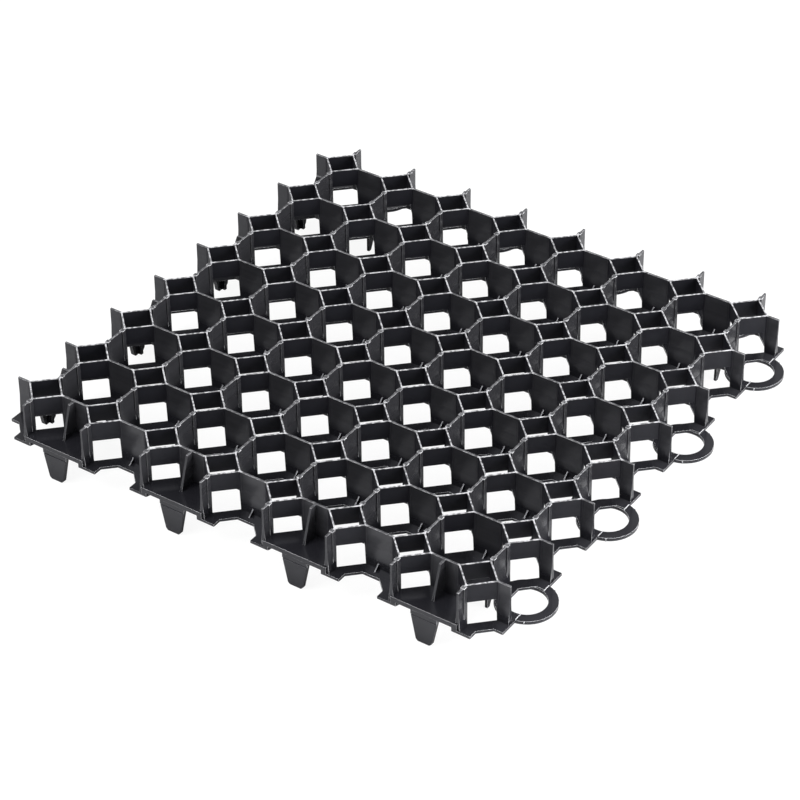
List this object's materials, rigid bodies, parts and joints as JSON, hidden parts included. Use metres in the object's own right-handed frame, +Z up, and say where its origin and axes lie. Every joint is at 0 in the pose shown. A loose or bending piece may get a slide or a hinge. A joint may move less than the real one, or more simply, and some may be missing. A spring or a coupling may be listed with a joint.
{
  "type": "grass paver grid",
  "caption": "Square black plastic grass paver grid of octagonal cells and small square tubes, with ground spikes on two edges and joining rings on the other two.",
  "frame": {"origin": "centre of the overall box, rings included, on the plane of the spike tips", "axes": "+Z up; the rings stand out towards +X and +Y, the spikes are on the -X and -Y edges"},
  "size_m": [0.52, 0.52, 0.066],
  "materials": {
    "black_plastic": "satin black moulded plastic"
  },
  "bodies": {
    "root": {"paver_grid": "black_plastic"}
  },
  "joints": []
}
